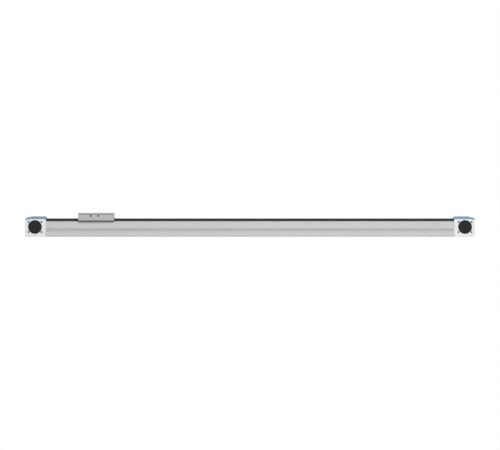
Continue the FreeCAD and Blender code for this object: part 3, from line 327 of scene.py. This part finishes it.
def rubber(name, colour, roughness, weave):
    """Elastomer with a fine woven imprint and a little sheen."""
    s = Surface(name, Specular_IOR_Level=0.35, Sheen_Weight=0.12, Sheen_Roughness=0.5)
    place = s.split()
    warp = s.math("SINE", s.math("MULTIPLY", place["X"], TURN / weave))
    weft = s.math("SINE", s.math("MULTIPLY", place["Y"], TURN / weave))
    cloth = s.remap(s.math("MULTIPLY", warp, weft), WAVE, UNIT)
    dust = s.noise(RUBBER_DUST, detail=4)
    tint = s.shades(colour, cloth, span=(0.2, 0.8), darkest=0.8, lightest=1.12)
    tint = s.dulled(tint, dust, span=(0.35, 0.75), dull=shade(WHITE, 0.9), clear=shade(WHITE, 1.12))
    s.feed("Base Color", tint)
    s.feed("Roughness", s.math("ADD", s.remap(dust, MOST, result=(-0.06, 0.08)), roughness))
    s.feed("Normal", s.bump(cloth, depth=0.04 * MM, strength=0.5))
    return s.material


def turned_steel(name, colour, worn, metallic, roughness):
    """Small machined steel pieces: fine all-round tool marks and bright edges."""
    s = Surface(name, Metallic=metallic)
    marks = s.noise(TOOL_MARKS, detail=3)
    patch = s.noise(STEEL_PATCHES, detail=3)
    tint = s.shades(colour, patch, MOST, darkest=0.9, lightest=1.08)
    normal = s.rounded(0.25 * MM, samples=4)
    s.feed("Base Color", s.blend(s.edge_mask(normal), tint, worn))
    s.feed("Roughness", s.math("ADD", s.remap(marks, MOST, result=(-0.06, 0.08)), roughness))
    s.feed("Normal", s.bump(marks, depth=0.01 * MM, strength=0.5, normal=normal))
    return s.material


# One finish for each material slot of the record
FINISHES = {
    "anodised_profile": drawn_metal(
        "anodised_profile", colour=(0.536, 0.538, 0.546), worn=(0.58, 0.583, 0.588),
        metallic=0.55, roughness=0.42, lines=0.06, edge=0.2 * MM),
    "carriage_aluminium": drawn_metal(
        "carriage_aluminium", colour=(0.443, 0.445, 0.447), worn=(0.54, 0.543, 0.545),
        metallic=0.55, roughness=0.4, lines=0.06),
    "plate_aluminium": drawn_metal(
        "plate_aluminium", colour=(0.293, 0.294, 0.296), worn=(0.33, 0.332, 0.334),
        metallic=0.55, roughness=0.38, lines=0.08, edge=0.2 * MM),
    "clamp_aluminium": drawn_metal(
        "clamp_aluminium", colour=(0.6, 0.6, 0.605), worn=(0.78, 0.785, 0.79),
        metallic=0.8, roughness=0.36, lines=0.05),
    "head_finish": coated_metal(
        "head_finish", colour=(0.768, 0.767, 0.778), worn=(0.86, 0.86, 0.87),
        roughness=0.44, peel_depth=0.05 * MM),
    "blue_plastic": moulded_plastic(
        "blue_plastic", colour=(0.17, 0.322, 0.445), worn=(0.22, 0.38, 0.505),
        roughness=0.42, gloss=0.4, grain_size=0.55 * MM),
    "black_plastic": moulded_plastic(
        "black_plastic", colour=(0.011, 0.01, 0.012), worn=(0.03, 0.029, 0.032),
        roughness=0.5, gloss=0.21, grain_size=0.5 * MM, rings=True),
    # Grey side seal strips under the carriage: their dark grey is partly the seal's own colour and partly
    # painted shade, standing for the shadow below the carriage
    "grey_plastic": moulded_plastic(
        "grey_plastic", colour=(0.105, 0.105, 0.109), worn=(0.16, 0.16, 0.165),
        roughness=0.5, gloss=0.3, grain_size=0.5 * MM),
    "black_coated_steel": drawn_metal(
        "black_coated_steel", colour=(0.038, 0.038, 0.039), worn=(0.055, 0.055, 0.057),
        metallic=0.3, roughness=0.42, lines=0.06, gloss=0.3),
    "belt_rubber": rubber("belt_rubber", colour=(0.024, 0.024, 0.025), roughness=0.6, weave=0.9 * MM),
    "seal_rubber": rubber("seal_rubber", colour=(0.03, 0.03, 0.03), roughness=0.65, weave=0.7 * MM),
    "screw_steel": turned_steel(
        "screw_steel", colour=(0.5, 0.5, 0.51), worn=(0.72, 0.72, 0.73), metallic=0.9, roughness=0.34),
    "bearing_steel": turned_steel(
        "bearing_steel", colour=(0.6, 0.6, 0.61), worn=(0.8, 0.8, 0.81), metallic=1.0, roughness=0.22),
    "spring_steel": turned_steel(
        "spring_steel", colour=(0.022, 0.022, 0.024), worn=(0.09, 0.09, 0.095), metallic=0.5, roughness=0.5),
}


def dress_nodes():
    """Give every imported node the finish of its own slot."""
    for row in frame["record"]["subparts"]:
        for slot in frame["nodes"][row["node"]].material_slots:
            slot.material = FINISHES[row["material_slot"]]


def sleeve(surface, hole_radius, place, closed):
    """A sleeve with one helical thread inside, its mouth at a hole and Z pointing out of it."""
    outer = hole_radius - SLEEVE_PLAY
    root = outer - SLEEVE_WALL
    crest = root - THREAD_RISE
    bottom = SLEEVE_SINK + 2 * THREAD_LEAD + (THREAD_TURNS + 1) * THREAD_PITCH

    def point(radius, step, depth):
        angle = TURN * step / THREAD_STEPS
        spot = Vector((radius * math.cos(angle), radius * math.sin(angle), -depth))
        return surface.verts.new(place @ spot)

    def ring(radius, depth):
        points = [point(radius, step, depth) for step in range(THREAD_STEPS)]
        return points + points[:1]

    def helix(radius, start, steps):
        return [point(radius, k, start + THREAD_PITCH * k / THREAD_STEPS) for k in range(steps + 1)]

    def strip(first, second):
        for k in range(len(first) - 1):
            surface.faces.new((first[k], first[k + 1], second[k + 1], second[k]))

    turn = THREAD_STEPS
    last = THREAD_TURNS * turn
    start = SLEEVE_SINK + THREAD_LEAD
    roots = helix(root, start, last + turn)
    crests = helix(crest, start + THREAD_PITCH / 2, last)
    rim = ring(root, SLEEVE_SINK)
    foot = ring(root, bottom)
    rim_outer = ring(outer, SLEEVE_SINK)
    foot_outer = ring(outer, bottom + SLEEVE_WALL if closed else bottom)
    strip(rim, roots[:turn + 1])
    strip(roots[:last + 1], crests)
    strip(crests, roots[turn:])
    strip(roots[last:], foot)
    if closed:
        surface.faces.new(foot[:-1])
        surface.faces.new(foot_outer[:-1])
    else:
        strip(foot, foot_outer)
    strip(foot_outer, rim_outer)
    strip(rim_outer, rim)
    surface.faces.new((rim[0], roots[0], crests[0], roots[turn]))
    surface.faces.new((foot[0], roots[last + turn], crests[last], roots[last]))


def build_sleeves():
    """One set of near-black thread sleeves for each screw pattern, closed at the foot in the carriage's
    holes: partly a real thread insert, partly painted shade that darkens the holes.
    """
    sideways = Vector((1, 0, 0))
    for row in frame["record"]["mounts"]:
        if row["kind"] != "bolt_pattern":
            continue
        on_carriage = row["name"].startswith("carriage")
        sizes = row["dims"]
        axis = Vector(row["axis"])
        across = sideways * sizes["spacing_x_mm"] * MM / 2
        along = axis.cross(sideways) * sizes.get("spacing_y_mm", 0) * MM / 2
        spots = {(across * a + along * b).freeze() for a in (-1, 1) for b in (-1, 1)}
        turned = axis.to_track_quat("Z", "Y").to_matrix().to_4x4()
        surface = bmesh.new()
        for spot in sorted(spots, key=tuple):
            place = Matrix.Translation(Vector(row["pos_m"]) + spot) @ turned
            sleeve(surface, sizes["hole_r_mm"] * MM, place, closed=on_carriage)
        bmesh.ops.recalc_face_normals(surface, faces=surface.faces)
        mesh = bpy.data.meshes.new(row["name"] + "_sleeves")
        surface.to_mesh(mesh)
        surface.free()
        # painted shade: the near-black finish darkens the screw holes beyond their own shadow, and the
        # closed foot hides the bright bottom of the carriage's holes
        mesh.materials.append(FINISHES["spring_steel"])
        piece = bpy.data.objects.new(mesh.name, mesh)
        bpy.context.collection.objects.link(piece)
        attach(piece, "carriage" if on_carriage else "axis_frame")


def build_lamp(name, place, aim, width, depth, power):
    """A rectangular lamp that the camera doesn't see."""
    data = bpy.data.lights.new(name, "AREA")
    data.shape = "RECTANGLE"
    data.size = width
    data.size_y = depth
    data.energy = power
    item = bpy.data.objects.new(name, data)
    item.location = place
    item.rotation_euler = (Vector(aim) - Vector(place)).to_track_quat("-Z", "Y").to_euler()
    item.visible_camera = False
    bpy.context.collection.objects.link(item)


def build_world():
    """White walls that lend the object a plain level of light."""
    world = bpy.data.worlds.new("studio")
    bpy.context.scene.world = world
    world.use_nodes = True
    graph = Graph(world.node_tree)
    light = graph.tree.nodes["Background"]
    wall = graph.add("Background")
    for node, level in ((light, WORLD_LEVEL), (wall, WALL_LEVEL)):
        graph.plug(node.inputs["Color"], WHITE)
        graph.plug(node.inputs["Strength"], level)
    mix = graph.add("MixShader")
    graph.join(graph.seen_directly(), mix.inputs["Fac"])
    graph.join(light.outputs["Background"], mix.inputs[1])
    graph.join(wall.outputs["Background"], mix.inputs[2])
    graph.join(mix.outputs["Shader"], graph.tree.nodes["World Output"].inputs["Surface"])


def floor_material():
    """Pale paper with a glow that grows with the distance from the object."""
    material = bpy.data.materials.new("floor")
    material.use_nodes = True
    graph = Graph(material.node_tree)
    graph.tree.nodes.remove(graph.tree.nodes["Principled BSDF"])
    paper = graph.add("BsdfDiffuse")
    graph.plug(paper.inputs["Color"], FLOOR_COLOUR)
    away = graph.add("VectorMath", operation="LENGTH")
    graph.join(graph.add("TexCoord").outputs["Object"], away.inputs[0])
    level = graph.remap(away.outputs["Value"], (0, GLOW_DISTANCE), (GLOW_NEAR, GLOW_FAR))
    glow = graph.add("Emission")
    graph.join(graph.math("MULTIPLY", level, graph.seen_directly()), glow.inputs["Strength"])
    both = graph.add("AddShader")
    graph.join(paper.outputs["BSDF"], both.inputs[0])
    graph.join(glow.outputs["Emission"], both.inputs[1])
    graph.join(both.outputs["Shader"], graph.tree.nodes["Material Output"].inputs["Surface"])
    return material


def build_floor():
    """A pale floor that shows white and still takes the object's shadow."""
    mesh = bpy.data.meshes.new("floor")
    corners = [(x * FLOOR_REACH, y * FLOOR_REACH, 0) for x, y in ((-1, -1), (1, -1), (1, 1), (-1, 1))]
    mesh.from_pydata(corners, [], [(0, 1, 2, 3)])
    mesh.materials.append(floor_material())
    floor = bpy.data.objects.new("floor", mesh)
    floor.location.z = low.z - FLOOR_GAP
    bpy.context.collection.objects.link(floor)


def build_camera():
    """A long lens square to the front, as wide as the picture."""
    data = bpy.data.cameras.new("camera")
    data.lens = LENS
    data.sensor_width = SENSOR
    camera = bpy.data.objects.new("camera", data)
    width = LENGTH * PICTURE_WIDTH / OBJECT_WIDTH
    distance = width * LENS / SENSOR
    camera.location = (CENTRE.x, FRONT - distance, CENTRE.z)
    camera.rotation_euler = (math.pi / 2, 0, 0)
    data.clip_end = CLIP_DISTANCES * distance
    bpy.context.collection.objects.link(camera)
    bpy.context.scene.camera = camera


dress_nodes()
build_sleeves()
build_world()
build_floor()
build_camera()
build_lamp("key", **KEY_LAMP)
build_lamp("back", **BACK_LAMP)
bpy.context.scene.view_settings.view_transform = "Standard"
